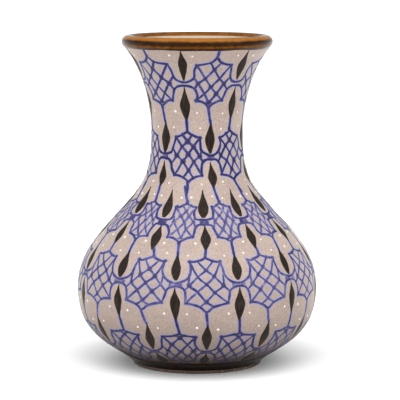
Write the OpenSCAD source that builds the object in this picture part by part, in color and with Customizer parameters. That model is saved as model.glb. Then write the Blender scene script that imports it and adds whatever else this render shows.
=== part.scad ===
// Hand-painted pottery vase: round belly, narrow waisted neck, flared mouth.
// The body is built the way the potter joins it: turned foot, floor, belly,
// neck and rolled lip. Over it lie the coats (sand slip, brown glaze, liner)
// and five rows of raised decoration, dark lozenges with pairs of white dots.
// Millimetres, +Z up, resting face at z = 0, front toward -Y.

/* [Body] */
// Height from the resting face to the top of the lip
total_h = 250; // [246:1:262]
// Outside diameter of the belly at its widest
belly_d = 182; // [172:1:192]
// Height of the widest part of the belly
belly_z = 59; // [56:1:62]
// Outside diameter of the neck at its waist
neck_d = 68; // [64:1:76]
// Height of the waist of the neck
neck_z = 176; // [172:1:180]
// Outside diameter of the lip
mouth_d = 113.4; // [108:0.2:120]
// Outside diameter of the foot
foot_d = 99; // [95:1:101]
// Thickness of the thrown wall
wall_t = 6; // [5:0.5:7]

/* [Base] */
// Height of the foot ring
foot_h = 4.2; // [3.6:0.2:5]
// Inside diameter of the foot ring
foot_bore = 82; // [76:1:86]
// Height of the inside of the floor
floor_top = 11.5; // [10.5:0.5:12.5]

/* [Coats] */
// Thickness of the slip and glaze coats
coat_t = 0.6; // [0.4:0.1:0.8]
// Thickness of the dark lozenges
loz_t = 0.4; // [0.3:0.1:0.6]
// Height of the white dots above the slip
dot_t = 0.8; // [0.6:0.1:1]

/* [Decoration] */
// Motifs round the two rows on the neck
neck_count = 6; // [5:1:7]
// Motifs round the three rows on the belly
belly_count = 12; // [11:1:13]
// Width of a dark lozenge
loz_w = 8; // [6:0.5:9]
// Distance of a white dot from the middle of its lozenge
dot_x = 8.2; // [7:0.2:9]
// Radius of a white dot
dot_r = 0.9; // [0.7:0.1:1.1]

/* [Hidden] */
$fn = 96;

// Colours of the clay, the coats and the paint
clay = [0.72, 0.56, 0.47];
sand = [0.76, 0.67, 0.63];
brown = [0.16, 0.07, 0.03];
cream = [0.86, 0.76, 0.64];
black = [0.13, 0.10, 0.10];
white = [0.94, 0.92, 0.92];

// ---- outline helpers ------------------------------------------------------

function bezier(p, n) = [for (i = [0:n]) let (t = i / n, u = 1 - t)
    u * u * u * p[0] + 3 * u * u * t * p[1] + 3 * u * t * t * p[2] + t * t * t * p[3]];
function arc(c, r, a0, a1, n) = [for (i = [0:n]) let (a = a0 + (a1 - a0) * i / n)
    c + r * [cos(a), sin(a)]];
function slice(v, a, b) = [for (i = [a:b]) v[i]];
function reversed(v) = [for (i = [len(v) - 1:-1:0]) v[i]];
// Right-hand unit normal of the step from a to b
function normal(a, b) = let (d = (b - a) / norm(b - a)) [d.y, -d.x];
// The path moved sideways by d, mitred at every corner
function beside(v, d) = [for (i = [0:len(v) - 1])
    let (n1 = normal(v[max(i - 1, 0)], v[max(i, 1)]),
         n2 = normal(v[min(i, len(v) - 2)], v[min(i + 1, len(v) - 1)]))
    v[i] + d * (n1 + n2) / (1 + n1 * n2)];

// ---- the outline of the fired body ----------------------------------------

foot_r = foot_d / 2;
belly_r = belly_d / 2 - coat_t;
neck_r = neck_d / 2;
shoulder = [neck_r + 14.5, neck_z - 48.5];
shoulder_dir = [-sin(39.6), cos(39.6)];
lip_r = 4.8 - coat_t;
lip_c = [mouth_d / 2 - coat_t - lip_r, total_h - coat_t - lip_r];
lip_base = lip_c + [2.2, -3.9];

lower = bezier([[foot_r + 0.6, foot_h], [foot_r + 14.1, foot_h + 12.8],
    [belly_r, belly_z - 38], [belly_r, belly_z]], 14);
upper = bezier([[belly_r, belly_z], [belly_r, belly_z + 29],
    shoulder - 29 * shoulder_dir, shoulder], 12);
collar = bezier([shoulder, shoulder + 20 * shoulder_dir,
    [neck_r, neck_z - 19], [neck_r, neck_z]], 8);
flare = bezier([[neck_r, neck_z], [neck_r, neck_z + 28],
    lip_base - 18 * [sin(40), cos(40)], lip_base], 10);
body = concat(lower, slice(upper, 1, 12), slice(collar, 1, 8), slice(flare, 1, 10));
rim = arc(lip_c, lip_r, -35, 152, 14);

// Points of the body outline where one piece or coat ends and the next begins
n_glaze = 2;
n_join = 26;
n_inner = 43;
n_top = 44;

// Inside face of the wall, and the rounded corner down to the floor
inner = beside(body, -wall_t);
edge = inner[n_glaze];
fillet = [for (i = [1:4]) let (t = i / 4, u = 1 - t)
    u * u * edge + 2 * u * t * [edge.x - 3.5, floor_top] + t * t * [edge.x - 12, floor_top]];

// One path round the whole skin: foot side, body, rim, inside wall, floor
glaze_z = 2.6;
skin = concat([[foot_r + 0.3, glaze_z]], body, rim,
    reversed(slice(inner, n_glaze, n_inner)), fillet, [[0, floor_top]]);
i_glaze = 1 + n_glaze;
i_lip = 1 + n_top;
i_mouth = i_lip + len(rim);
i_end = len(skin) - 1;
coat_face = beside(skin, coat_t);

// Closed ring between two faces of the skin, from point a to point b
module band(face_a, face_b, a, b) {
    rotate_extrude()
        polygon(concat(slice(face_a, a, b), reversed(slice(face_b, a, b))));
}

// ---- the thrown and joined body -------------------------------------------

module foot_ring() color(clay) rotate_extrude()
    polygon([[foot_bore / 2, foot_h], [foot_bore / 2, 1.2], [foot_bore / 2 + 1.2, 0],
        [foot_r - 1.8, 0], [foot_r - 0.6, 0.5], [foot_r, 1.5], [foot_r + 0.3, glaze_z],
        [foot_r + 0.6, foot_h]]);

module floor_disc() color(clay) rotate_extrude()
    polygon(concat([[0, foot_h]], slice(body, 0, n_glaze), [edge], fillet,
        [[0, floor_top]]));

module belly_wall() color(clay) rotate_extrude()
    polygon(concat(slice(body, n_glaze, n_join), reversed(slice(inner, n_glaze, n_join))));

module neck_wall() color(clay) rotate_extrude()
    polygon(concat(slice(body, n_join, n_top), reversed(slice(inner, n_join, n_inner))));

module lip_roll() color(clay) rotate_extrude()
    polygon(concat([body[n_top]], rim, [inner[n_inner]]));

// ---- the coats -------------------------------------------------------------

module foot_glaze() color(brown) band(skin, coat_face, 0, i_glaze);
module slip_coat() color(sand) band(skin, coat_face, i_glaze, i_lip);
module lip_glaze() color(brown) band(skin, coat_face, i_lip, i_mouth);
module liner_glaze() color(cream) band(skin, coat_face, i_mouth, i_end);

// ---- the brushed decoration ------------------------------------------------

// Each row: motifs round the turn, angle of its first lozenge, hanging and
// standing lozenge (top, bottom, share of the length above the widest point),
// heights of its dots, and the skin points that the row lies between
ROWS = [
    [neck_count, -13.2, [240.2, 219.5, 0.52], [213, 188.4, 0.55], [236.6, 194.5], 32, 45],
    [neck_count, 16.8, [188, 164, 0.55], [156.6, 137.2, 0.58], [182.3, 142], 25, 42],
    [belly_count, 5, [136.8, 118.8, 0.61], [113.3, 97.5, 0.54], [132.6, 102.2], 20, 33],
    [belly_count, -10, [95.5, 77.4, 0.62], [71.8, 48.4, 0.48], [94.2, 53.3], 10, 25],
    [belly_count, 5, [45.2, 25, 0.5], [20.3, 10.5, 0.5], [41.8], 3, 16]];
COUNT = 0;
ANGLE = 1;
HANGING = 2;
STANDING = 3;
DOTS = 4;
FROM = 5;
TO = 6;

module round_row(row) {
    for (k = [0:row[COUNT] - 1]) rotate([0, 0, row[ANGLE] + k * 360 / row[COUNT]]) children();
}

// A flat shape pushed outward through the front of the wall
module outward() {
    rotate([90, 0, 0]) translate([0, 0, neck_r / 2]) linear_extrude(belly_d / 2) children();
}

// The part of the row's shapes that lies on the slip, t thick
module raised(row, t) {
    intersection() {
        band(coat_face, beside(skin, coat_t + t), row[FROM], row[TO]);
        round_row(row) outward() children();
    }
}

// Lozenge with pointed ends and slightly hollow sides
module lozenge(l) {
    wide = l[0] - l[2] * (l[0] - l[1]);
    half = [[0, l[0]], [0.2 * loz_w, 0.55 * l[0] + 0.45 * wide], [0.5 * loz_w, wide],
        [0.21 * loz_w, 0.45 * wide + 0.55 * l[1]], [0, l[1]]];
    polygon(concat(half, [for (i = [3:-1:1]) [-half[i].x, half[i].y]]));
}

module lozenges(row, which) color(black) raised(row, loz_t) lozenge(row[which]);

// Two white dots beside each lozenge, near the end farther from the net; the
// lozenges that stand at the foot have none
module white_dots(row) color(white) raised(row, dot_t) {
    for (side = [-1, 1], z = row[DOTS]) translate([side * dot_x, z]) circle(r = dot_r, $fn = 8);
}

foot_ring();
floor_disc();
belly_wall();
neck_wall();
lip_roll();
foot_glaze();
slip_coat();
lip_glaze();
liner_glaze();
lozenges(ROWS[0], HANGING);  // hanging_lozenges_1
lozenges(ROWS[1], HANGING);  // hanging_lozenges_2
lozenges(ROWS[2], HANGING);  // hanging_lozenges_3
lozenges(ROWS[3], HANGING);  // hanging_lozenges_4
lozenges(ROWS[4], HANGING);  // hanging_lozenges_5
lozenges(ROWS[0], STANDING);  // standing_lozenges_1
lozenges(ROWS[1], STANDING);  // standing_lozenges_2
lozenges(ROWS[2], STANDING);  // standing_lozenges_3
lozenges(ROWS[3], STANDING);  // standing_lozenges_4
lozenges(ROWS[4], STANDING);  // standing_lozenges_5
white_dots(ROWS[0]);  // white_dots_1
white_dots(ROWS[1]);  // white_dots_2
white_dots(ROWS[2]);  // white_dots_3
white_dots(ROWS[3]);  // white_dots_4
white_dots(ROWS[4]);  // white_dots_5
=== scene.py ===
"""Finish of a hand-painted pottery vase: slip, glazes, brushed net, lozenges and dots.

The vase stands on z = 0 about the Z axis, its front toward -Y, in metres. Every coat and brush
stroke is laid out on one chart of the wall (angle round the pot, way up along its outline) and
then wrapped onto the wall, so paint, dots and coats always follow the same hand-thrown surface.
"""

import bisect
import math
import random

import bmesh
import bpy
from mathutils import Matrix, Vector, kdtree, noise


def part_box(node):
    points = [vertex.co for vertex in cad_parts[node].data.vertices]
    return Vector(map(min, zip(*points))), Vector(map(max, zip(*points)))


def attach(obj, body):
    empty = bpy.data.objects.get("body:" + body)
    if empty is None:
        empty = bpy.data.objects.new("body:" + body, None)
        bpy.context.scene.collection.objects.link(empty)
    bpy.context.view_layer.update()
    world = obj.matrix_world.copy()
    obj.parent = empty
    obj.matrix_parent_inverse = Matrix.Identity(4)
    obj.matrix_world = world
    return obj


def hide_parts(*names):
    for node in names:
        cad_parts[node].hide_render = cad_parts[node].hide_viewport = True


bl_info = {
    "name": "Painted Pottery Vase",
    "version": (1, 0, 0),
    "blender": (4, 5, 0),
    "location": "View3D > Sidebar > Vase",
    "description": "Builds the coats, glazes and brushed decoration of a pottery vase",
    "category": "Add Mesh",
}

MM = 0.001
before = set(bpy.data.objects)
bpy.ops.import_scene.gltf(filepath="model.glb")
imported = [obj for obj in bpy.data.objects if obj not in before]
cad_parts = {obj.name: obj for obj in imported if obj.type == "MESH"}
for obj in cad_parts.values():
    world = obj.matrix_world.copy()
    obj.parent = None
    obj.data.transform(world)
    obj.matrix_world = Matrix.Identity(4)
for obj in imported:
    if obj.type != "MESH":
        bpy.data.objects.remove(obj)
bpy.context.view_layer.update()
LIP_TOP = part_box("lip_glaze")[1][2] / MM  # height of the vase
COAT = 0.6  # thickness of the slip and glaze coats, mm

# ---- Sizes and colours a potter would change ----


def size_prop(name, text, mm):
    return bpy.props.FloatProperty(name=name, description=text, default=mm * MM, unit="LENGTH")


def colour_prop(name, text, rgb):
    return bpy.props.FloatVectorProperty(name=name, description=text, default=rgb, size=3,
                                         subtype="COLOR", min=0.0, max=1.0)


class VaseSizes(bpy.types.PropertyGroup):
    """Thicknesses and brush widths of the decoration."""

    line_width: size_prop("Net line", "Width of a lattice line of the net", 2.0)
    edge_width: size_prop("Net edge", "Width of the outer lines of a medallion", 2.3)
    line_crown: size_prop("Line crown", "How far a blue line stands above the slip", 0.11)
    lozenge_width: size_prop("Lozenge width", "Width of a dark lozenge", 7.9)
    lozenge_crown: size_prop("Lozenge crown", "How far a lozenge stands above the slip", 0.34)
    dot_radius: size_prop("Dot radius", "Radius of a white dot", 0.95)
    dot_reach: size_prop("Dot distance", "From a dot to the middle of its lozenge", 8.2)
    bleed: size_prop("Bleed", "How far the blue bleeds into the slip beside a line", 2.4)


class VaseColours(bpy.types.PropertyGroup):
    """Colours of the clay, the coats and the paint."""

    sand: colour_prop("Sand slip", "Ground colour of the vase", (0.384, 0.303, 0.266))
    sand_dark: colour_prop("Sand slip, dense", "Where it lies thicker", (0.306, 0.236, 0.212))
    lavender: colour_prop("Blue bleed", "Slip tinted beside a line", (0.285, 0.262, 0.365))
    cobalt: colour_prop("Cobalt", "Line where the blue is dense", (0.021, 0.016, 0.078))
    cobalt_thin: colour_prop("Cobalt, thin", "Line where it is thin", (0.078, 0.068, 0.168))
    lozenge: colour_prop("Dark slip", "Lozenges", (0.009, 0.0052, 0.0046))
    lozenge_thin: colour_prop("Dark slip, thin", "Edges of lozenges", (0.044, 0.025, 0.018))
    dot: colour_prop("White dots", "Raised dots", (0.64, 0.576, 0.528))
    glaze: colour_prop("Brown glaze", "Where the glaze is thick", (0.016, 0.004, 0.0004))
    glaze_thin: colour_prop("Brown glaze, thin", "Broken over an edge", (0.27, 0.104, 0.018))
    liner: colour_prop("Liner glaze", "Inside of the vase", (0.47, 0.345, 0.23))
    clay: colour_prop("Fired clay", "Bare body", (0.24, 0.132, 0.08))
    # darker clay for the turned foot
    clay_dark: colour_prop("Fired clay, stained", "Foot below the glaze", (0.1, 0.072, 0.06))
    floor: colour_prop("Floor", "Ground under the vase", (0.95, 0.95, 0.95))


# ---- Outline of the pot, in millimetres: radius and height ----


def bezier(p, n):
    out = []
    for i in range(n + 1):
        t = i / n
        u = 1.0 - t
        w = (u * u * u, 3 * u * u * t, 3 * u * t * t, t * t * t)
        out.append((sum(a * q[0] for a, q in zip(w, p)), sum(a * q[1] for a, q in zip(w, p))))
    return out


def arc(centre, radius, start, end, n):
    out = []
    for i in range(n + 1):
        a = math.radians(start + (end - start) * i / n)
        out.append((centre[0] + radius * math.cos(a), centre[1] + radius * math.sin(a)))
    return out


# the points that drive the outline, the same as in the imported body
FOOT = (49.8, 4.2)
FOOT_TOP = (50.1, 4.2)
BELLY = (90.4, 59.0)
SHOULDER = (48.5, 127.5)
SHOULDER_WAY = (-math.sin(math.radians(39.6)), math.cos(math.radians(39.6)))
NECK = (34.0, 176.0)
LIP_R = 4.8 - COAT
LIP_C = (51.9, LIP_TOP - COAT - LIP_R)
LIP_BASE = (LIP_C[0] + 2.2, LIP_C[1] - 3.9)
FLARE_WAY = (math.sin(math.radians(40)), math.cos(math.radians(40)))
WALL = 6.0
FLOOR_TOP = 11.5


def along(p, way, d):
    return (p[0] + way[0] * d, p[1] + way[1] * d)


def body_outline(fine):
    """Outside of the fired body from the top of the foot to the underside of the lip."""
    lower = bezier([FOOT_TOP, (63.6, 17.0), (BELLY[0], 21.0), BELLY], 14 * fine)
    upper = bezier([BELLY, (BELLY[0], 88.0), along(SHOULDER, SHOULDER_WAY, -29), SHOULDER],
                   12 * fine)
    collar = bezier([SHOULDER, along(SHOULDER, SHOULDER_WAY, 20), (NECK[0], 157.0), NECK],
                    8 * fine)
    flare = bezier([NECK, (NECK[0], 204.0), along(LIP_BASE, FLARE_WAY, -18), LIP_BASE],
                   10 * fine)
    return lower + upper[1:] + collar[1:] + flare[1:]


def right_of(a, b):
    """Unit vector to the right of the way from a to b."""
    dx, dy = b[0] - a[0], b[1] - a[1]
    size = math.hypot(dx, dy)
    return dy / size, -dx / size


def beside(path, d):
    """The path moved d to its right, mitred at every corner."""
    out = []
    last = len(path) - 1
    for i, p in enumerate(path):
        ax, ay = right_of(path[max(i - 1, 0)], path[max(i, 1)])
        bx, by = right_of(path[min(i, last - 1)], path[min(i + 1, last)])
        k = d / (1 + ax * bx + ay * by)
        out.append((p[0] + k * (ax + bx), p[1] + k * (ay + by)))
    return out


def run_of(path):
    """Length along a path at each of its points."""
    run = [0.0]
    for a, b in zip(path, path[1:]):
        run.append(run[-1] + math.hypot(b[0] - a[0], b[1] - a[1]))
    return run


def find(marks, value):
    """Which gap between rising marks a value falls in, and how far across that gap."""
    i = min(max(bisect.bisect_right(marks, value) - 1, 0), len(marks) - 2)
    return i, (value - marks[i]) / (marks[i + 1] - marks[i])


def blend(a, b, t):
    """Point t of the way from a to b."""
    return tuple(p + t * (q - p) for p, q in zip(a, b))


def through(knots, x):
    """Value at x of the straight lines through knots of (x, value)."""
    for (x0, v0), (x1, v1) in zip(knots, knots[1:]):
        if x <= x1:
            return v0 + (v1 - v0) * (x - x0) / (x1 - x0)
    return knots[-1][1]


BODY = body_outline(6)
RIM = arc(LIP_C, LIP_R, -35, 152, 48)
SKIN = beside([(49.0, 0.2), (49.5, 1.6), FOOT] + BODY + RIM, COAT)


class Chart:
    """The outer skin of the pot as a path with its length, for wrapping things onto it."""

    def __init__(self, path):
        self.path = path
        self.length = run_of(path)
        self.total = self.length[-1]
        # heights rise all the way to the crest of the lip
        crest = max(range(len(path)), key=lambda i: path[i][1])
        self.heights = [p[1] for p in path[:crest]]
        last = len(path) - 1
        self.normals = [right_of(path[max(i - 1, 0)], path[min(i + 1, last)])
                        for i in range(len(path))]

    def way_up(self, z):
        """Length along the skin at height z, outside of the pot."""
        i, t = find(self.heights, z)
        return self.length[i] + t * (self.length[i + 1] - self.length[i])

    def at(self, s):
        """Radius, height and outward normal at length s."""
        i, t = find(self.length, s)
        a, b = blend(self.normals[i], self.normals[i + 1], t)
        size = math.hypot(a, b)
        return *blend(self.path[i], self.path[i + 1], t), a / size, b / size


CHART = Chart(SKIN)


def wander(a, b, c):
    """Smooth noise between -1 and 1."""
    return noise.noise(Vector((a, b, c)))


def round_noise(angle, lumps, c):
    """Smooth noise that meets itself after a full turn; more lumps make it finer."""
    a = math.radians(angle)
    return wander(lumps * math.cos(a), lumps * math.sin(a), c)


def thrown(angle, z):
    """How far the hand-thrown wall stands out from the true round, in mm."""
    a = math.radians(angle)
    fade = min(1.0, max(0.0, (z - 6.0) / 20.0))
    slow = 0.14 * math.sin(2 * a + 0.6 + z * 0.012) + 0.09 * math.sin(3 * a + 2.1 - z * 0.02)
    rings = 0.05 * math.sin(z * 1.05 + 0.4 * a) * wander(z * 0.11, a * 0.3, 4.2)
    dents = 0.16 * round_noise(angle, 2.2, z * 0.022)
    return 0.12 + fade * (slow + rings + dents)


def round_axis(angle, r, z):
    """Point in metres at an angle (0 at the front, + toward +X), radius and height in mm."""
    a = math.radians(angle)
    return Vector((r * math.sin(a), -r * math.cos(a), z)) * MM


def polar(co):
    """Angle in degrees (0 at the front, + toward +X), radius and height in mm."""
    return math.degrees(math.atan2(co.x, -co.y)), math.hypot(co.x, co.y) / MM, co.z / MM


def wrap(angle, s, lift):
    """Point of the wall at an angle and a length up the skin, lift mm above it; in metres."""
    r, z, nr, nz = CHART.at(s)
    return round_axis(angle, r + nr * lift + thrown(angle, z), z + nz * lift)


# ---- Mesh helpers ----


def add_mesh(name, bm, material):
    """Puts a bmesh in the scene as an object of one material."""
    mesh = bpy.data.meshes.new(name)
    bm.to_mesh(mesh)
    bm.free()
    mesh.materials.append(material)
    made = bpy.data.objects.new(name, mesh)
    bpy.context.scene.collection.objects.link(made)
    return made


def finish_mesh(name, bm, material, replaces=(), sharp=None):
    """Turns a bmesh into a finished piece of the vase, sharp where it turns by more degrees."""
    bmesh.ops.recalc_face_normals(bm, faces=bm.faces)
    if sharp is not None:
        for edge in bm.edges:
            if edge.is_manifold and edge.calc_face_angle(0.0) > math.radians(sharp):
                edge.smooth = False
    for face in bm.faces:
        face.smooth = True
    piece = add_mesh(name, bm, material)
    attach(piece, "root")
    if replaces:
        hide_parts(*replaces)


def turned(profile, closed, steps):
    """A shell turned about Z from a profile of (radius, height) in mm, its ends joined if closed."""
    sectors = 12
    wedge = bmesh.new()
    verts = [wedge.verts.new((0.0, -r * MM, z * MM)) for r, z in profile]
    pairs = list(zip(verts, verts[1:]))
    if closed:
        pairs.append((verts[-1], verts[0]))
    edges = [wedge.edges.new(pair) for pair in pairs]
    bmesh.ops.spin(wedge, geom=verts + edges, cent=(0, 0, 0), axis=(0, 0, 1), dvec=(0, 0, 0),
                   angle=math.tau / sectors, steps=steps // sectors, use_merge=False,
                   use_duplicate=False)
    slice_mesh = bpy.data.meshes.new("slice")
    wedge.to_mesh(slice_mesh)
    wedge.free()
    bm = bmesh.new()
    for _ in range(sectors):
        bm.from_mesh(slice_mesh)
        slice_mesh.transform(Matrix.Rotation(math.tau / sectors, 4, "Z"))
    bpy.data.meshes.remove(slice_mesh)
    bmesh.ops.remove_doubles(bm, verts=bm.verts, dist=0.002 * MM)
    return bm


def throw_off(bm, wave=None):
    """Gives a turned shell the uneven surface of the thrown pot."""
    for v in bm.verts:
        angle, r, z = polar(v.co)
        if wave is not None:
            z += wave(angle, r, z)
        v.co = round_axis(angle, r + thrown(angle, z), z)


def spaced(path, step):
    """The path resampled at an even step, ends kept."""
    run = run_of(path)
    n = max(2, round(run[-1] / step))
    out = []
    for k in range(n + 1):
        i, t = find(run, run[-1] * k / n)
        out.append(blend(path[i], path[i + 1], t))
    return out


def skin_between(s0, s1, step, lift=0.0):
    """Points of the outer skin from length s0 to s1, lift mm above it."""
    n = max(2, round((s1 - s0) / step))
    out = []
    for k in range(n + 1):
        h = lift(k / n) if callable(lift) else lift
        r, z, nr, nz = CHART.at(s0 + (s1 - s0) * k / n)
        out.append((r + nr * h, z + nz * h))
    return out


# ---- Brushed paint ----


def smooth_path(points, step):
    """Catmull-Rom curve through (angle, length) points, sampled about every step mm."""
    pts = [points[0]] + list(points) + [points[-1]]
    out = []
    for i in range(1, len(pts) - 2):
        p0, p1, p2, p3 = pts[i - 1 : i + 3]
        r = CHART.at(p1[1])[0]
        gap = math.hypot(math.radians(p2[0] - p1[0]) * r, p2[1] - p1[1])
        n = max(1, round(gap / step))
        for k in range(n):
            t = k / n
            out.append(tuple(
                0.5 * (2 * b + (c - a) * t + (2 * a - 5 * b + 4 * c - d) * t * t
                       + (3 * b - a - 3 * c + d) * t * t * t)
                for a, b, c, d in zip(p0, p1, p2, p3)
            ))
    out.append(tuple(points[-1]))
    return out


UNDER = -0.3  # how far the back of a dab lies under the skin, mm
TIP = 0.15  # share of a stroke over which the brush lifts or lands


def paint_layers(bm):
    """Where a dab keeps how dense its colour is and how near its edge."""
    return bm.verts.layers.float.new("ink"), bm.verts.layers.float.new("edge")


class Brush:
    """Collects strokes of one row in a single mesh and remembers where the colour lies."""

    def __init__(self, rng):
        self.bm = bmesh.new()
        paint_layers(self.bm)
        self.dab = bpy.data.meshes.new("dab")
        self.rng = rng
        self.trace = []

    def add(self, bm):
        """Adds one finished dab of paint to the row."""
        bm.to_mesh(self.dab)
        bm.free()
        self.bm.from_mesh(self.dab)

    def sheet(self, columns, rows, place):
        """A flat grid given a back and wrapped by place(a, b, top) -> (point, ink, edge)."""
        bm = bmesh.new()
        ink, edge = paint_layers(bm)
        flat = bmesh.ops.create_grid(bm, x_segments=columns, y_segments=rows, size=1.0)["verts"]
        made = bmesh.ops.extrude_face_region(bm, geom=bm.faces[:], use_keep_orig=True)
        top = [g for g in made["geom"] if isinstance(g, bmesh.types.BMVert)]
        for verts, is_top in ((flat, False), (top, True)):
            for v in verts:
                v.co, v[ink], v[edge] = place((v.co.x + 1) / 2, v.co.y, is_top)
        self.add(bm)

    def stroke(self, points, width, ink, crown, taper=(0.35, 0.35), wobble=0.18):
        """One pull of the brush through (angle, length) points; width in mm."""
        path = smooth_path(points, 1.1)
        n = len(path) - 1
        seed = self.rng.uniform(0, 100)
        spots = []
        for i, (angle, s) in enumerate(path):
            r = CHART.at(s)[0]
            a0, a1 = path[max(i - 1, 0)], path[min(i + 1, n)]
            dx, dy = math.radians(a1[0] - a0[0]) * r, a1[1] - a0[1]
            size = math.hypot(dx, dy) or 1.0
            side = (-dy / size, dx / size)
            sway = wobble * wander(seed, i * 0.21, 0.0)
            angle += math.degrees(side[0] * sway / r)
            s += side[1] * sway
            swell = 1 + 0.34 * wander(i * 0.33, seed, 7.0)
            end = min(tip + (1 - tip) * math.sin(min(1.0, far / TIP) * math.pi / 2)
                      for tip, far in zip(taper, (i / n, 1 - i / n)))
            depth = ink * (1 + 0.45 * wander(i * 0.16, 3.0, seed))
            spots.append((angle, s, side, width * swell * end / 2, depth))
            self.trace.append((angle, s, width * swell * end / 2, depth))

        def place(a, b, is_top):
            angle, s, side, half, depth = spots[min(n, round(a * n))]
            r = CHART.at(s)[0]
            b = math.copysign(abs(b) ** 0.7, b)
            d = b * half * (1 + 0.2 * wander(a * n * 0.9, b * 1.7, seed) * abs(b))
            lift = crown * (1 - b ** 4) - 0.02 * b ** 4 if is_top else UNDER
            at = wrap(angle + math.degrees(side[0] * d / r), s + side[1] * d, lift)
            return at, depth, abs(b)

        self.sheet(n, 4, place)

    def pool(self, angle, s, radius, ink, crown):
        """A drop of colour where lines cross."""
        r = CHART.at(s)[0]
        bm = bmesh.new()
        inks, edges = paint_layers(bm)
        bmesh.ops.create_icosphere(bm, subdivisions=2, radius=1.0)
        seed = self.rng.uniform(0, 100)
        for v in bm.verts:
            x, y, z = v.co
            reach = radius * (1 + 0.35 * wander(x * 1.3, y * 1.3, seed))
            lift = z * crown if z > 0 else -z * UNDER
            v[edges] = math.hypot(x, y)
            v[inks] = ink
            v.co = wrap(angle + math.degrees(x * reach / r), s + y * reach, lift)
        self.add(bm)
        self.trace.append((angle, s, radius, ink))


# Rows of the decoration from the lip down. Heights are in mm; the places across a medallion
# are shares of its half width, 0 at its middle and 1 at the crossing beside it.
#   count, first             crossings round the pot, and the angle of the first
#   stems                    where the line above a medallion starts and the one below it ends
#   lean                     how far top and bottom of the front medallion stand to one side
#   apex, shoulder, corner   upper outline: tip, where it flattens, outer corner
#   cup                      line round the hanging lozenge, from the corner to the crossing
#   lattice                  where net lines cross: middle or side, from the top down
#   arch                     line round the standing lozenge, from the crossing to the low corner
#   low_corner, low_apex     lower outline
#   wash, ink, mesh          density of the blue at the crossings, on the outline, and of the
#                            net as a share of the outline
#   line, pool, drop         line width, size of the drops, roundness of the hanging lozenges
#   hanging, standing        lozenges: top, bottom, share of the length above the widest point
#   dots                     heights of the white dots
ROWS = [
    dict(count=6, first=-13.2, stems=(242.2, 185.5), lean=(0.03, -0.07),
         apex=236.6, shoulder=(0.16, 231.9), corner=(0.57, 230.0),
         cup=((0.63, 225.5), (0.66, 221.2), (0.77, 218.1), (1.0, 216.8)),
         lattice=((0.0, 226.5), (0.24, 220.1), (0.48, 216.2), (0.0, 213.5), (0.23, 208.2),
                  (0.0, 202.0)),
         arch=((1.0, 214.7), (0.79, 214.0), (0.63, 211.4), (0.54, 207.0)),
         low_corner=(0.5, 203.2), low_apex=197.6,
         wash=0.0, ink=1.0, mesh=0.95, line=1.0, pool=0.92, drop=0.0,
         hanging=(240.9, 218.6, 0.5), standing=(213.4, 188.4, 0.55),
         dots=(236.6, 194.5)),
    dict(count=6, first=16.8, stems=(191.5, 134.0), lean=(0.03, 0.09),
         apex=181.2, shoulder=(0.19, 177.7), corner=(0.51, 175.3),
         cup=((0.56, 170.5), (0.61, 166.6), (0.72, 164.1), (1.0, 162.4)),
         lattice=((0.0, 172.8), (0.235, 168.8), (0.49, 161.8), (0.0, 163.3), (0.22, 157.6),
                  (0.0, 151.5)),
         arch=((1.0, 159.6), (0.79, 159.3), (0.65, 156.6), (0.6, 151.8)),
         low_corner=(0.555, 147.9), low_apex=143.0,
         wash=0.5, ink=1.25, mesh=0.9, line=1.0, pool=0.85, drop=0.2,
         hanging=(188.4, 163.4, 0.55), standing=(157.4, 138.6, 0.58),
         dots=(182.3, 142.0)),
    dict(count=12, first=5.0, stems=(141.0, 92.5), lean=(0.09, -0.02),
         apex=129.6, shoulder=(0.22, 127.0), corner=(0.53, 126.2),
         cup=((0.5, 122.8), (0.52, 120.1), (0.65, 118.1), (1.0, 117.3)),
         lattice=((0.05, 123.3), (0.2, 120.0), (0.46, 116.4), (0.03, 115.8), (0.2, 111.3),
                  (0.03, 105.9)),
         arch=((1.0, 114.3), (0.71, 114.0), (0.58, 111.7), (0.54, 108.8)),
         low_corner=(0.49, 106.1), low_apex=102.4,
         wash=0.74, ink=0.85, mesh=0.62, line=0.95, pool=0.72, drop=1.0,
         hanging=(138.0, 118.9, 0.61), standing=(113.9, 97.4, 0.54),
         dots=(132.6, 102.2)),
    dict(count=12, first=-10.0, stems=(100.5, 43.5), lean=(-0.04, -0.03),
         apex=93.0, shoulder=(0.27, 90.3), corner=(0.52, 89.7),
         cup=((0.52, 85.0), (0.55, 81.2), (0.65, 78.0), (0.82, 75.8), (1.0, 74.9)),
         lattice=((0.0, 84.0), (0.25, 79.6), (0.52, 73.7), (0.0, 74.0), (0.265, 68.8),
                  (0.0, 62.0)),
         arch=((1.0, 72.6), (0.83, 72.1), (0.71, 69.6), (0.67, 65.2)),
         low_corner=(0.64, 60.6), low_apex=53.6,
         wash=0.4, ink=0.74, mesh=1.0, line=0.92, pool=0.8, drop=0.9,
         hanging=(96.2, 76.6, 0.6), standing=(71.4, 47.6, 0.46),
         dots=(94.2, 53.3)),
    dict(count=12, first=5.0, stems=(51.0, 7.4), lean=(0.07, 0.03),
         apex=38.8, shoulder=(0.16, 36.6), corner=(0.55, 35.5),
         cup=((0.57, 31.0), (0.62, 27.0), (0.74, 24.2), (1.0, 22.7)),
         lattice=((0.01, 34.6), (0.275, 28.8), (0.475, 23.2), (0.0, 22.7), (0.24, 18.2),
                  (0.0, 13.4)),
         arch=((1.0, 21.2), (0.77, 20.6), (0.64, 18.0), (0.58, 15.8)),
         low_corner=(0.55, 13.6), low_apex=9.4,
         wash=0.6, ink=1.25, mesh=0.9, line=0.98, pool=0.95, drop=0.0,
         hanging=(46.4, 24.2, 0.5), standing=(20.6, 8.2, 0.5),
         dots=(41.8,)),
]


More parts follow.
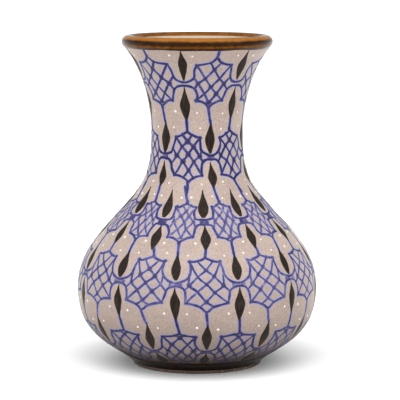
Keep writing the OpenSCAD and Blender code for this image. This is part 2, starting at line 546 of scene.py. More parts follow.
def crossings(number):
    """Angle and height offset of every crossing of a row, uneven as by hand."""
    row = ROWS[number]
    rng = random.Random(40 + number)
    pitch = 360 / row["count"]
    out = []
    for k in range(row["count"]):
        angle = row["first"] + k * pitch
        loose = 0.25 if abs((angle + 180) % 360 - 180) < 25 else 1.0
        out.append((angle + rng.uniform(-0.03, 0.03) * loose * pitch,
                    rng.uniform(-0.7, 0.7) * loose))
    return out


def nearest_mark(number, angle):
    """Angle of the lozenge or medallion of a row that lies closest to an angle."""
    at = [a for a, _ in crossings(number)]
    marks = at + [(a + b + (360 if b < a else 0)) / 2 for a, b in zip(at, at[1:] + at[:1])]
    return angle + min(((m - angle + 180) % 360 - 180 for m in marks), key=abs)


class Medallion:
    """One medallion of the net between two crossings; gives places on it by share and height."""

    def __init__(self, left, right, lean, row, rng):
        self.left, self.right, self.lean, self.row, self.rng = left, right, lean, row, rng
        self.top, self.foot = row["corner"][1], row["low_corner"][1]

    def at(self, u, z, loose=0.3):
        """The place u across and z up, a little off as the hand was."""
        (a0, d0), (a1, d1) = self.left, self.right
        k = min(1.3, max(-0.3, (z - self.foot) / (self.top - self.foot)))
        lean = self.lean[1] + (self.lean[0] - self.lean[1]) * k
        t = (u + lean * max(0.0, 1 - abs(u) ** 3) + 1) / 2
        s = CHART.way_up(z + d0 + (d1 - d0) * t)
        r = CHART.at(s)[0]
        return (a0 + (a1 - a0) * t + math.degrees(self.rng.uniform(-loose, loose) / r),
                s + self.rng.uniform(-loose, loose))

    def pair(self, u, z, loose=0.3):
        """The same place left and right of the middle."""
        return self.at(-u, z, loose), self.at(u, z, loose)


def paint_net(number, sizes):
    """The blue net of one row: returns the brush that holds it."""
    row = ROWS[number]
    rng = random.Random(90 + number)
    brush = Brush(rng)
    at = crossings(number)
    crown = sizes.line_crown / MM
    edge = sizes.edge_width / MM * row["line"]
    line = sizes.line_width / MM * row["line"]
    corners, low_corners = [], []

    for k in range(row["count"]):
        left, right = at[k], at[(k + 1) % row["count"]]
        if right[0] < left[0]:
            right = (right[0] + 360, right[1])
        middle = ((left[0] + right[0]) / 2 + 180) % 360 - 180
        lean = row["lean"]
        if abs(middle) > 18:
            lean = (rng.uniform(-0.09, 0.09), rng.uniform(-0.09, 0.09))
        m = Medallion(left, right, lean, row, rng)
        ink = row["ink"] * rng.uniform(0.88, 1.1)

        apex, low_apex = m.at(0, row["apex"]), m.at(0, row["low_apex"])
        shoulder = m.pair(*row["shoulder"])
        corner = m.pair(*row["corner"], 0.5)
        low_corner = m.pair(*row["low_corner"], 0.5)
        top, high, side, mid, low, foot = row["lattice"]
        n_top, n_mid, n_foot = m.at(*top), m.at(*mid), m.at(*foot)
        n_high, n_side, n_low = m.pair(*high), m.pair(*side), m.pair(*low)
        stem_top, stem_foot = m.at(0, row["stems"][0], 0.2), m.at(0, row["stems"][1], 0.2)
        if number > 0:
            stem_top = (nearest_mark(number - 1, stem_top[0]), stem_top[1])
        if number + 1 < len(ROWS):
            stem_foot = (nearest_mark(number + 1, stem_foot[0]), stem_foot[1])
        corners.append(corner)
        low_corners.append(low_corner)

        # outline above: corner, shoulder, tip and up into the stem
        u, z = row["corner"]
        us, zs = row["shoulder"]
        for i, sign in ((0, -1), (1, 1)):
            brush.stroke([corner[i], m.at(sign * (u + us) / 2, zs * 0.65 + z * 0.35 - 0.5),
                          shoulder[i], m.at(sign * us * 0.4, (zs + row["apex"]) / 2 - 0.3), apex,
                          stem_top], edge, ink, crown, taper=(0.9, 0.5))
        # the same below: low corner, tip and down into the stem
        u, z = row["low_corner"]
        rise = z - row["low_apex"]
        for i, sign in ((0, -1), (1, 1)):
            brush.stroke([low_corner[i], m.at(sign * u * 0.62, z - rise * 0.14),
                          m.at(sign * u * 0.3, z - rise * 0.4),
                          m.at(sign * u * 0.1, z - rise * 0.75), low_apex, stem_foot],
                         edge, ink, crown, taper=(0.9, 0.5))
        # net: three lines each way
        cup_side = m.pair(*row["cup"][1])
        arch_side = m.pair(*row["arch"][2])
        low_side = m.pair(u * 0.36, z - rise * 0.34)
        for i, j in ((0, 1), (1, 0)):
            for path in ((corner[i], n_high[i], n_mid, n_low[j], low_corner[j]),
                         (shoulder[i], n_top, n_high[j], n_side[j], arch_side[j]),
                         (cup_side[i], n_side[i], n_low[i], n_foot, low_side[j])):
                brush.stroke(path, line * rng.uniform(0.85, 1.12),
                             row["mesh"] * ink * rng.uniform(0.85, 1.08), crown,
                             taper=(0.8, 0.7))
        # drops where the lines cross
        for p in (n_top, n_mid, n_foot, *n_high, *n_side, *n_low):
            if rng.random() < 0.85:
                brush.pool(*p, rng.uniform(2.0, 2.8) * row["pool"], row["mesh"] * ink * 1.15,
                           crown * 1.25)
        for p in (*corner, *low_corner, *shoulder, apex, low_apex):
            brush.pool(*p, rng.uniform(1.2, 1.8) * row["line"], ink, crown * 1.2)

    # cups and arches run on from one medallion to the next across each crossing
    for k, here in enumerate(at):
        before = at[k - 1] if k else (at[-1][0] - 360, at[-1][1])
        after = at[k + 1] if k + 1 < len(at) else (at[0][0] + 360, at[0][1])
        west = Medallion(before, here, (0, 0), row, rng)
        east = Medallion(here, after, (0, 0), row, rng)
        turn = 360 if k == 0 else 0
        ink = row["ink"] * rng.uniform(0.88, 1.1)
        for ends, side in ((corners, row["cup"]), (low_corners, row["arch"][::-1])):
            start = ends[k - 1][1]
            path = [(start[0] - turn, start[1])]
            path += [west.at(u, z) for u, z in side]
            path += [east.at(-u, z) for u, z in side[-2::-1]]
            brush.stroke(path + [ends[k][0]], edge * 0.95, ink, crown, taper=(0.9, 0.9))
        # the crossing itself, a broad thin touch between the two
        if row["wash"]:
            over, under = row["cup"][-1][1], row["arch"][0][1]
            reach = 0.15 if row["count"] == 6 else 0.22
            touch = [m.at(u, (over + under) / 2, 0.1) for m, u in (
                (west, 1 - reach), (west, 1 - reach / 2), (west, 1), (east, reach / 2 - 1),
                (east, reach - 1))]
            brush.stroke(touch, over - under + 2.2, row["wash"], crown * 0.6,
                         taper=(0.45, 0.45), wobble=0.12)
    return brush


def lozenge_half_width(a, wide, drop):
    """Half width of a lozenge as a share, a running from its top to its bottom.

    drop fills the lower end from a point to the round end of a drop.
    """
    if a < wide:
        return through(((0.0, 0.1), (0.2, 0.2), (0.45, 0.45), (0.7, 0.76), (0.88, 0.95),
                        (1.0, 1.0)), a / wide)
    # place, width of a pointed end, and what a drop's round end adds to it
    knots = ((0.0, 0.18, 0.1), (0.2, 0.38, 0.2), (0.45, 0.66, 0.17), (0.7, 0.88, 0.08),
             (0.88, 0.98, 0.01), (1.0, 1.0, 0.0))
    return through([(k, w + drop * full) for k, w, full in knots], (1 - a) / (1 - wide))


def paint_lozenges(number, which, sizes):
    """The dark lozenges of one row, hanging above or standing below the crossings."""
    row = ROWS[number]
    rng = random.Random(140 + 10 * number + (which == "standing"))
    brush = Brush(rng)
    high, low, wide = row[which]
    for angle, dz in crossings(number):
        top = CHART.way_up(high + dz + rng.uniform(-0.4, 0.4))
        end = CHART.way_up(low + dz + rng.uniform(-0.4, 0.4))
        lean = rng.uniform(-1.0, 1.0)
        bow = rng.uniform(-0.5, 0.5)
        half = sizes.lozenge_width / MM / 2 * rng.uniform(0.9, 1.12)
        skew = rng.uniform(-0.12, 0.12)
        seed = rng.uniform(0, 100)
        broad = min(0.7, max(0.35, wide + rng.uniform(-0.05, 0.05)))
        crown = sizes.lozenge_crown / MM
        drop = row["drop"] if which == "hanging" else 0.0

        def place(a, b, is_top):
            s = top + (end - top) * a
            r = CHART.at(s)[0]
            full = lozenge_half_width(a, broad, drop)
            w = half * full
            rag = 0.13 * wander(a * 9, b, seed)
            d = b * (w + rag) + lean * (a - 0.5) + bow * (4 * a * (1 - a) - 0.5)
            d += skew * b * b * w
            lift = UNDER
            if is_top:
                streak = 0.05 * wander(b * 5.5, a * 1.3, seed)
                lift = (crown * math.sqrt(full) + streak) * (1 - b ** 4) - 0.05 * b ** 4
            rim = max(abs(b) ** 2, abs(2 * a - 1) ** 5)
            return wrap(angle + math.degrees(d / r), s, lift), 1.0, rim

        brush.sheet(20, 8, place)
    return brush


def set_dots(number, sizes):
    """White slip dots trailed beside the lozenges of one row."""
    row = ROWS[number]
    rng = random.Random(240 + number)
    bm = bmesh.new()
    for angle, dz in crossings(number):
        for z in row["dots"]:
            for side in (-1, 1):
                s = CHART.way_up(z + dz + rng.uniform(-0.9, 0.9))
                r = CHART.at(s)[0]
                reach = side * sizes.dot_reach / MM + rng.uniform(-0.8, 0.8)
                radius = sizes.dot_radius / MM * rng.uniform(0.8, 1.15)
                height = radius * rng.uniform(0.5, 0.68)
                seed = rng.uniform(0, 100)
                ball = bmesh.ops.create_icosphere(bm, subdivisions=2, radius=1.0)
                for v in ball["verts"]:
                    x, y, up = v.co
                    wide = radius * (1 + 0.16 * wander(x, y, seed))
                    lift = up * height if up > 0 else -up * UNDER
                    v.co = wrap(angle + math.degrees((reach + x * wide) / r), s + y * wide, lift)
    return bm


NETS = {}


def net_brushes(sizes):
    """All five nets, painted once and shared by the slip, which takes their bleed."""
    if not NETS:
        for number in range(len(ROWS)):
            NETS[number] = paint_net(number, sizes)
    return NETS


# ---- Materials ----


def feed(tree, socket, value):
    """Joins a socket to another node, or sets its colour or number."""
    if isinstance(value, bpy.types.NodeSocket):
        tree.links.new(value, socket)
    elif hasattr(value, "__len__"):
        socket.default_value = (*value, 1.0)
    else:
        socket.default_value = value


def add_node(tree, kind, inputs=None, **settings):
    """A new node with its settings, and its inputs joined or set."""
    made = tree.nodes.new(kind)
    for key, value in settings.items():
        setattr(made, key, value)
    for key, value in (inputs or {}).items():
        feed(tree, made.inputs[key], value)
    return made


class Finish:
    """A material being mixed: short names for the nodes a potter's finish needs."""

    def __init__(self, name):
        self.mat = bpy.data.materials.new(name)
        self.mat.use_nodes = True
        self.tree = self.mat.node_tree
        self.shader = self.tree.nodes["Principled BSDF"]
        self.place = self.node("ShaderNodeTexCoord").outputs["Object"]

    def node(self, kind, inputs=None, **settings):
        return add_node(self.tree, kind, inputs, **settings)

    def set(self, **values):
        """Sets the shader itself."""
        for key, value in values.items():
            feed(self.tree, self.shader.inputs[key.replace("_", " ")], value)
        return self.mat

    def noise(self, scale, detail=3.0, stretch=(1, 1, 1)):
        mapping = self.node("ShaderNodeMapping", {"Vector": self.place})
        mapping.inputs["Scale"].default_value = stretch
        made = self.node("ShaderNodeTexNoise", {
            "Scale": scale, "Detail": detail, "Roughness": 0.55,
            "Vector": mapping.outputs["Vector"]})
        return made.outputs["Fac"]

    def ramp(self, value, low, high, to_low=0.0, to_high=1.0):
        """The value carried smoothly from one range to another."""
        made = self.node("ShaderNodeMapRange", {
            "From Min": low, "From Max": high, "To Min": to_low, "To Max": to_high,
            "Value": value}, interpolation_type="SMOOTHSTEP")
        return made.outputs["Result"]

    def cloud(self, scale, detail, *span):
        """Soft noise carried to a range."""
        return self.ramp(self.noise(scale, detail), *span)

    def specks(self, scale, size, share):
        """A share on sparse specks, 0 between them."""
        made = self.node("ShaderNodeTexVoronoi", {"Scale": scale, "Vector": self.place})
        return self.times(self.ramp(made.outputs["Distance"], size, size * 0.4), share)

    def low(self, *span):
        """The height above the table, in metres, carried to a range."""
        parts = self.node("ShaderNodeSeparateXYZ", {"Vector": self.place})
        return self.ramp(parts.outputs["Z"], *span)

    def attribute(self, name):
        return self.node("ShaderNodeAttribute", attribute_name=name).outputs["Fac"]

    def plus(self, a, b):
        return self.node("ShaderNodeMath", {0: a, 1: b}, operation="ADD").outputs["Value"]

    def times(self, a, b):
        return self.node("ShaderNodeMath", {0: a, 1: b}, operation="MULTIPLY").outputs["Value"]

    def mix(self, share, a, b):
        """Colour a with a share of colour b over it."""
        return self.node("ShaderNodeMix", {0: share, 6: a, 7: b}, data_type="RGBA").outputs[2]

    def bump(self, height, depth):
        """Relief of a depth in mm."""
        made = self.node("ShaderNodeBump", {"Distance": depth * MM, "Strength": 1.0,
                                            "Height": height})
        return made.outputs["Normal"]


# Tones that are mixed into the main colours
PALE_GRAIN = (0.45, 0.345, 0.26)
GREY_GRAIN = (0.225, 0.17, 0.165)
IRON_SPECK = (0.15, 0.10, 0.08)
# painted shade: the next two darken the slip toward the foot, where it turns away from the light
SHADE_NEAR_FOOT = (0.075, 0.05, 0.042)
DEEP_SHADE_AT_FOOT = (0.022, 0.011, 0.009)
BLUE_POOL = (0.008, 0.005, 0.04)
BLUE_GRAIN = (0.13, 0.12, 0.25)
# painted shade for the blue toward the foot
BLUE_SHADE_AT_FOOT = (0.01, 0.005, 0.009)
DARK_STREAK = (0.046, 0.035, 0.028)
DARK_GRAIN = (0.1, 0.07, 0.07)
# painted shade for the dark slip toward the foot
DARK_SLIP_SHADE_AT_FOOT = (0.004, 0.002, 0.0018)
DARK_SHEEN = (1.0, 0.9, 0.82)
CREAM_GRAIN = (0.72, 0.62, 0.56)
GLAZE_GRAIN = (0.05, 0.016, 0.003)
GLAZE_SHEEN = (1.0, 0.55, 0.28)
LINER_POOL = (0.46, 0.31, 0.2)
LINER_GRAIN = (0.35, 0.22, 0.14)
LINER_SPECK = (0.12, 0.06, 0.03)
CLAY_CLOUD = (0.22, 0.12, 0.075)
# cloud for the darker clay of the foot
DARK_FOOT_CLOUD = (0.05, 0.03, 0.022)
CLAY_GRAIN = (0.2, 0.11, 0.07)
GROG = (0.52, 0.40, 0.30)
FLOOR_CLOUD = (0.88, 0.88, 0.88)


def sand_slip(col):
    """Matte speckled slip: tinted beside the blue, with painted shade toward the foot."""
    f = Finish("sand_slip")
    cloud = f.times(f.cloud(38, 4, 0.36, 0.66), 0.5)
    tone = f.mix(cloud, col.sand, col.sand_dark)
    tone = f.mix(f.cloud(480, 3, 0.42, 0.68, 0.0, 0.5), tone, PALE_GRAIN)
    tone = f.mix(f.cloud(900, 2, 0.42, 0.7, 0.0, 0.6), tone, GREY_GRAIN)
    tone = f.mix(f.specks(420, 0.2, 0.55), tone, IRON_SPECK)
    ragged = f.times(f.attribute("bleed"), f.cloud(520, 3, 0.25, 0.75, 1.1, 1.9))
    tone = f.mix(ragged, tone, col.lavender)
    # painted shade: the slip darkened most near the foot, less over the lower belly, faintly above
    # it
    tone = f.mix(f.low(-0.006, 0.062, 0.85, 0.0), tone, SHADE_NEAR_FOOT)
    tone = f.mix(f.low(0.05, 0.095, 0.17, 0.03), tone, SHADE_NEAR_FOOT)
    tone = f.mix(f.low(0.009, 0.024, 0.88, 0.0), tone, DEEP_SHADE_AT_FOOT)
    relief = f.plus(f.noise(1300, 4), f.times(f.noise(170, 3), 1.6))
    return f.set(Base_Color=tone, Roughness=f.cloud(300, 3, 0.3, 0.7, 0.5, 0.68),
                 Normal=f.bump(relief, 0.06), Specular_IOR_Level=0.18,
                 Sheen_Weight=f.low(0.012, 0.07, 0.0, 0.42), Sheen_Roughness=0.4)


def cobalt_brush(col):
    """Blue brushed thick and thin: denser where it pools, paler at the edge of a stroke."""
    f = Finish("cobalt_brush")
    ink = f.plus(f.attribute("ink"), f.cloud(420, 4, 0.3, 0.7, -0.22, 0.22))
    rim = f.times(f.ramp(f.attribute("edge"), 0.55, 1.0), 0.35)
    tone = f.mix(f.ramp(ink, 0.35, 1.0), col.cobalt_thin, col.cobalt)
    tone = f.mix(f.ramp(ink, 1.0, 1.45), tone, BLUE_POOL)
    tone = f.mix(f.ramp(ink, 0.0, 0.5), col.lavender, tone)
    tone = f.mix(rim, tone, col.lavender)
    tone = f.mix(f.cloud(1700, 2, 0.5, 0.75, 0.0, 0.3), tone, BLUE_GRAIN)
    # painted shade: the blue darkened toward the foot, where the pot turns away from the light
    tone = f.mix(f.low(0.004, 0.04, 0.9, 0.0), tone, BLUE_SHADE_AT_FOOT)
    return f.set(Base_Color=tone, Roughness=f.cloud(500, 3, 0.3, 0.7, 0.36, 0.55),
                 Normal=f.bump(f.noise(1500, 3), 0.03), Specular_IOR_Level=0.16)


def dark_slip(col):
    """Brown-black slip with the streaks of the brush along it."""
    f = Finish("dark_slip")
    along_brush = (1, 1, 0.14)
    streak = f.ramp(f.noise(900, 3, along_brush), 0.42, 0.7)
    rim = f.times(f.ramp(f.attribute("edge"), 0.35, 1.0), 0.6)
    tone = f.mix(f.times(streak, 0.45), col.lozenge, DARK_STREAK)
    tone = f.mix(rim, tone, col.lozenge_thin)
    tone = f.mix(f.cloud(1600, 2, 0.55, 0.8, 0.0, 0.2), tone, DARK_GRAIN)
    # painted shade: the lozenges darkened toward the foot, where the pot turns away from the light
    tone = f.mix(f.low(0.012, 0.032, 0.85, 0.0), tone, DARK_SLIP_SHADE_AT_FOOT)
    relief = f.plus(f.noise(1000, 3, along_brush), f.noise(1900, 2))
    return f.set(Base_Color=tone, Roughness=f.ramp(streak, 0.0, 1.0, 0.38, 0.55),
                 Normal=f.bump(relief, 0.05), Specular_IOR_Level=0.1, Specular_Tint=DARK_SHEEN)


def white_slip(col):
    """White slip of the raised dots."""
    f = Finish("white_slip")
    tone = f.mix(f.cloud(900, 3, 0.4, 0.7, 0.0, 0.4), col.dot, CREAM_GRAIN)
    return f.set(Base_Color=tone, Roughness=f.cloud(600, 2, 0.3, 0.7, 0.3, 0.48),
                 Normal=f.bump(f.noise(1500, 3), 0.03), IOR=1.47)


def brown_glaze(col, name, gloss, depth=1.0):
    """Run brown glaze, amber where it is thin; depth scales its thick tones."""
    f = Finish(name)
    # on the lip the thin share also holds a painted highlight on the crest and painted shade on the
    # side
    share = f.plus(f.attribute("thin"), f.ramp(f.noise(210, 3, (1, 1, 1.6)), 0.3, 0.7, -0.1, 0.1))
    tone = f.mix(f.ramp(share, 0.02, 1.0), [c * depth for c in col.glaze], col.glaze_thin)
    tone = f.mix(f.cloud(900, 3, 0.5, 0.72, 0.0, 0.3), tone, [c * depth for c in GLAZE_GRAIN])
    relief = f.plus(f.noise(140, 3), f.times(f.noise(700, 2), 0.3))
    return f.set(Base_Color=tone, Roughness=f.cloud(260, 3, 0.3, 0.7, 0.12, 0.22),
                 Normal=f.bump(relief, 0.16), Specular_IOR_Level=gloss,
                 Specular_Tint=GLAZE_SHEEN)


def liner_glaze(col):
    """Pale cream glaze of the inside, with a few iron specks."""
    f = Finish("liner_glaze")
    pooled = f.times(f.ramp(f.noise(30, 4, (1, 1, 0.4)), 0.35, 0.68), 0.5)
    tone = f.mix(pooled, col.liner, LINER_POOL)
    tone = f.mix(f.cloud(800, 3, 0.5, 0.75, 0.0, 0.25), tone, LINER_GRAIN)
    tone = f.mix(f.specks(240, 0.14, 0.5), tone, LINER_SPECK)
    return f.set(Base_Color=tone, Roughness=f.cloud(300, 3, 0.3, 0.7, 0.16, 0.3),
                 Normal=f.bump(f.noise(180, 3), 0.12), IOR=1.5)


def fired_clay(name, base, clouded):
    """Bare fired clay with grog and turning lines."""
    f = Finish(name)
    tone = f.mix(f.cloud(60, 4, 0.35, 0.68, 0.0, 0.7), base, clouded)
    tone = f.mix(f.cloud(1200, 3, 0.45, 0.75, 0.0, 0.45), tone, CLAY_GRAIN)
    tone = f.mix(f.specks(360, 0.24, 0.6), tone, GROG)
    relief = f.plus(f.noise(1400, 4), f.noise(420, 3, (0.1, 0.1, 2.0)))
    return f.set(Base_Color=tone, Roughness=f.cloud(500, 3, 0.3, 0.7, 0.72, 0.9),
                 Normal=f.bump(relief, 0.08), IOR=1.45)


def white_floor(col):
    """Plain white studio floor."""
    f = Finish("studio_floor")
    tone = f.mix(f.cloud(3, 2, 0.3, 0.7, 0.0, 0.03), col.floor, FLOOR_CLOUD)
    return f.set(Base_Color=tone, Roughness=0.9, Specular_IOR_Level=0.1)


# ---- Operators ----


def repaint(node, material):
    """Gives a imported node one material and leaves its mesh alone."""
    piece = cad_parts[node]
    for slot in piece.material_slots:
        slot.material = material
    if not piece.material_slots:
        piece.data.materials.append(material)


class VASE_OT_clay_body(bpy.types.Operator):
    """Give the thrown body its fired clay, and turn the foot with its worn edge."""

    bl_idname = "vase.clay_body"
    bl_label = "Clay body"

    def execute(self, context):
        col = context.scene.vase_colours
        clay = fired_clay("fired_clay", col.clay, CLAY_CLOUD)
        for node in ("floor_disc", "belly_wall", "neck_wall", "lip_roll"):
            repaint(node, clay)
        # the turned foot gets a darker copy of the clay
        darkened = fired_clay("lower_foot_clay", col.clay_dark, DARK_FOOT_CLOUD)
        # recess, inner edge, resting face, outer edge and the flare up to the glaze
        profile = ([(41.0, 4.3)] + arc((42.2, 1.2), 1.2, 180, 270, 5)
                   + arc((47.7, 1.4), 1.4, 270, 348, 6) + [(49.45, 2.6), (49.9, 4.3)])
        bm = turned(profile, True, 240)
        for v in bm.verts:
            angle, r, z = polar(v.co)
            if z > 0.3:
                v.co *= 1 + 0.06 * round_noise(angle, 9, z * 0.4) / r
                v.co.z = z * MM
        finish_mesh("turned_foot", bm, darkened, ("foot_ring",), 50)
        return {"FINISHED"}


class VASE_OT_slip_coat(bpy.types.Operator):
    """Coat belly and neck with speckled sand slip, tinted beside the blue lines."""

    bl_idname = "vase.slip_coat"
    bl_label = "Sand slip"

    def execute(self, context):
        scene = context.scene
        slip = sand_slip(scene.vase_colours)
        reach = scene.vase_sizes.bleed / MM
        traces = [t for brush in net_brushes(scene.vase_sizes).values() for t in brush.trace]
        tree = kdtree.KDTree(len(traces))
        for i, (angle, s, *_) in enumerate(traces):
            tree.insert(wrap(angle, s, 0.0), i)
        tree.balance()
        start, joint, end = (CHART.way_up(z) for z in (7.4, SHOULDER[1], 242.6))
        for name, s0, s1, step, steps in (("belly_slip", start, joint, 1.1, 516),
                                          ("neck_slip", joint, end, 0.95, 360)):
            outside = skin_between(s0, s1, step)
            inside = skin_between(s0, s1, 9.0, -COAT - 0.25)
            bm = turned(outside + inside[::-1], True, steps)
            throw_off(bm)
            layer = bm.verts.layers.float.new("bleed")
            for v in bm.verts:
                _, i, far = tree.find(v.co)
                half, ink = traces[i][2:]
                near = 1 - max(0.0, far / MM - half) / reach
                v[layer] = max(0.0, near) ** 2 * min(1.0, 0.55 + 0.4 * ink)
            finish_mesh(name, bm, slip, ("slip_coat",), 50)
        return {"FINISHED"}


def glaze_band(name, s0, s1, lift, material, thin, wave, replaces):
    """A band of thick glaze with rounded edges, its ends wavy as the brush left them."""

    def bulge(t):
        return -0.1 + (lift + 0.1) * min(1.0, math.sin(math.pi * t) * 3.2) ** 0.5

    outside = skin_between(s0, s1, 0.45, bulge)
    inside = skin_between(s0, s1, 2.0, -0.75)
    bm = turned(outside + inside[::-1], True, 288)
    throw_off(bm, wave)
    layer = bm.verts.layers.float.new("thin")
    for v in bm.verts:
        v[layer] = thin(*polar(v.co))
    finish_mesh(name, bm, material, (replaces,), 70)


class VASE_OT_brown_glaze(bpy.types.Operator):
    """Glaze the rolled lip and the foot brown."""

    bl_idname = "vase.brown_glaze"
    bl_label = "Brown glaze"

    def execute(self, context):
        col = context.scene.vase_colours
        lip = brown_glaze(col, "lip_glaze", 0.16)
        # the foot's copy of the glaze has its thick tones cut to 0.35: painted shade under the
        # overhanging belly
        foot = brown_glaze(col, "foot_glaze", 0.03, 0.35)
        lip_from, foot_from, foot_to = 240.7, 2.8, 9.9

        def lip_wave(angle, r, z):
            edge = max(0.0, 1 - (z - 240.0) / 3.0) if r > 51 else 0.0
            return 0.45 * edge * round_noise(angle, 3, 1.0)

        def lip_thin_and_painted_light(angle, r, z):
            """How thin the glaze lies round the roll, with light painted in: thin amber glaze and a
            painted highlight on the crest, thick glaze and painted shade on the side.
            """
            turn = math.degrees(math.atan2(z - LIP_C[1], r - LIP_C[0]))
            return through(((-90, 0.2), (-38, 0.1), (-31, 0.3), (-20, 0.42), (-8, 0.12),
                            (8, 0.02), (20, 0.1), (36, 0.75), (52, 1.0), (72, 0.72), (90, 0.5),
                            (120, 0.45), (150, 0.6), (270, 0.6)), (turn + 90) % 360 - 90)

        def foot_wave(angle, r, z):
            edge = min(1.0, max(0.0, (z - 6.0) / 3.0))
            return 0.5 * edge * round_noise(angle, 3.5, 6.0)

        def foot_thin(angle, r, z):
            return through(((foot_from, 0.08), (4.0, 0.0), (9.0, 0.0), (10.2, 0.12)), z)

        glaze_band("glazed_lip", CHART.way_up(lip_from), CHART.total - 0.1, 0.22, lip, lip_thin_and_painted_light,
                   lip_wave, "lip_glaze")
        glaze_band("glazed_foot", CHART.way_up(foot_from), CHART.way_up(foot_to), 0.25, foot,
                   foot_thin, foot_wave, "foot_glaze")
        return {"FINISHED"}


class VASE_OT_liner(bpy.types.Operator):
    """Line the inside with glossy cream glaze from under the lip to the floor."""

    bl_idname = "vase.liner"
    bl_label = "Liner glaze"

    def execute(self, context):
        glaze = liner_glaze(context.scene.vase_colours)
        first, last = 12, -6  # stretch of the wall between the floor's corner and the lip
        wall_in = beside(BODY, -WALL)[first:last]
        r = wall_in[0][0]
        corner = bezier([wall_in[0], (r - 3.0, FLOOR_TOP + 0.4), (r - 7.0, FLOOR_TOP),
                         (r - 12.0, FLOOR_TOP)], 10)
        wall = [RIM[-1]] + wall_in[::-1] + corner[1:] + [(20.0, FLOOR_TOP), (0.0, FLOOR_TOP)]
        inside = spaced(beside(wall, COAT), 2.2)
        outside = spaced(beside(wall, -0.2), 8.0)
        inside[-1], outside[-1] = (0.0, inside[-1][1]), (0.0, outside[-1][1])
        bm = turned(inside[::-1] + outside, False, 240)
        ring_top = 243
        for v in bm.verts:
            angle, r, z = polar(v.co)
            if r > 2 and FLOOR_TOP + 2 <= z < ring_top:
                fade = min(1.0, (ring_top - z) / 20)
                ring = 0.14 * math.sin(z * 0.85 + math.radians(angle)) * fade
                v.co = round_axis(angle, r + ring, z)
        finish_mesh("glazed_inside", bm, glaze, ("liner_glaze",), 50)
        return {"FINISHED"}


class VASE_OT_net(bpy.types.Operator):
    """Paint the five rows of blue net."""

    bl_idname = "vase.net"
    bl_label = "Blue net"

    def execute(self, context):
        blue = cobalt_brush(context.scene.vase_colours)
        for number, brush in net_brushes(context.scene.vase_sizes).items():
            finish_mesh(f"blue_net_{number + 1}", brush.bm, blue)
        return {"FINISHED"}


class VASE_OT_lozenges(bpy.types.Operator):
    """Brush the dark lozenges above and below every crossing."""

    bl_idname = "vase.lozenges"
    bl_label = "Dark lozenges"

    def execute(self, context):
        scene = context.scene
        dark = dark_slip(scene.vase_colours)
        for number in range(len(ROWS)):
            for which in ("hanging", "standing"):
                brush = paint_lozenges(number, which, scene.vase_sizes)
                finish_mesh(f"{which}_strokes_{number + 1}", brush.bm, dark,
                            (f"{which}_lozenges_{number + 1}",))
        return {"FINISHED"}


class VASE_OT_dots(bpy.types.Operator):
    """Trail the raised white dots."""

    bl_idname = "vase.dots"
    bl_label = "White dots"

    def execute(self, context):
        scene = context.scene
        white = white_slip(scene.vase_colours)
        for number in range(len(ROWS)):
            bm = set_dots(number, scene.vase_sizes)
            finish_mesh(f"raised_dots_{number + 1}", bm, white,
                        (f"white_dots_{number + 1}",))
        return {"FINISHED"}


FLOOR_HALF = 60.0  # metres, so that the floor reaches the horizon
SUN_POWER = 2.2
SUN_SPREAD = 70  # degrees
SUN_SIDE = 0.62  # how far to the side, and to the front, each sun stands
SUN_UP = 0.95
SKY_TOP = 0.5  # strength overhead
SKY_EDGE = 1.0  # strength along the horizon
LENS = 189.2
LENS_SHIFT = 0.0073
CAMERA_FAR = 1.6
CAMERA_RISE = math.radians(7.2)
CAMERA_AIM = 0.1247  # height it looks at


def aim(name, data, way):
    """Puts a lamp or camera in the scene, facing a direction."""
    made = bpy.data.objects.new(name, data)
    made.rotation_euler = way.to_track_quat("-Z", "Y").to_euler()
    bpy.context.scene.collection.objects.link(made)
    return made


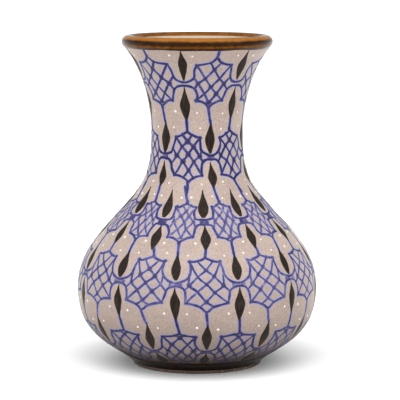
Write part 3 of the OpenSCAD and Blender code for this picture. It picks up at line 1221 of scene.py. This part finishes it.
class VASE_OT_stage(bpy.types.Operator):
    """Set the white floor, the soft lights and the camera."""

    bl_idname = "vase.stage"
    bl_label = "Studio"

    def execute(self, context):
        scene = context.scene
        bm = bmesh.new()
        bmesh.ops.create_grid(bm, x_segments=1, y_segments=1, size=FLOOR_HALF)
        floor = add_mesh("floor", bm, white_floor(scene.vase_colours))

        # white along the horizon, where the sky meets the floor, softer overhead
        world = bpy.data.worlds.new("studio")
        world.use_nodes = True
        tree = world.node_tree
        way = add_node(tree, "ShaderNodeTexCoord").outputs["Generated"]
        rise = add_node(tree, "ShaderNodeSeparateXYZ", {0: way}).outputs["Z"]
        fade = add_node(tree, "ShaderNodeMapRange", {
            "Value": rise, "From Min": 0.05, "From Max": 0.3, "To Min": SKY_EDGE,
            "To Max": SKY_TOP})
        sky = tree.nodes["Background"]
        feed(tree, sky.inputs["Color"], (1, 1, 1))
        feed(tree, sky.inputs["Strength"], fade.outputs["Result"])
        scene.world = world

        for name, side in (("key", SUN_SIDE), ("fill", -SUN_SIDE)):
            lamp = bpy.data.lights.new(name, "SUN")
            lamp.energy = SUN_POWER
            lamp.angle = math.radians(SUN_SPREAD)
            aim(name, lamp, Vector((side, SUN_SIDE, -SUN_UP)))

        lens = bpy.data.cameras.new("camera")
        lens.lens = LENS
        lens.sensor_width = 36.0
        lens.shift_x = LENS_SHIFT
        lens.clip_end = 2 * FLOOR_HALF
        place = Vector((0.0, -CAMERA_FAR * math.cos(CAMERA_RISE),
                        CAMERA_AIM + CAMERA_FAR * math.sin(CAMERA_RISE)))
        scene.camera = aim("camera", lens, Vector((0, 0, CAMERA_AIM)) - place)
        scene.camera.location = place
        scene.view_settings.view_transform = "Standard"
        return {"FINISHED"}


class VASE_PT_panel(bpy.types.Panel):
    """Lists the steps that finish the vase."""

    bl_idname = "VASE_PT_panel"
    bl_label = "Painted Vase"
    bl_space_type = "VIEW_3D"
    bl_region_type = "UI"
    bl_category = "Vase"

    def draw(self, context):
        layout = self.layout
        for step in STEPS:
            layout.operator(step.bl_idname)
        for group in (context.scene.vase_sizes, context.scene.vase_colours):
            box = layout.box()
            for key in group.__annotations__:
                box.prop(group, key)


STEPS = (VASE_OT_clay_body, VASE_OT_slip_coat, VASE_OT_brown_glaze, VASE_OT_liner, VASE_OT_net,
         VASE_OT_lozenges, VASE_OT_dots, VASE_OT_stage)
CLASSES = (VaseSizes, VaseColours, *STEPS, VASE_PT_panel)


def register():
    for cls in CLASSES:
        bpy.utils.register_class(cls)
    bpy.types.Scene.vase_sizes = bpy.props.PointerProperty(type=VaseSizes)
    bpy.types.Scene.vase_colours = bpy.props.PointerProperty(type=VaseColours)


def unregister():
    del bpy.types.Scene.vase_colours
    del bpy.types.Scene.vase_sizes
    for cls in reversed(CLASSES):
        bpy.utils.unregister_class(cls)


def main():
    register()
    for step in STEPS:
        family, name = step.bl_idname.split(".")
        getattr(getattr(bpy.ops, family), name)()


if __name__ == "__main__":
    main()
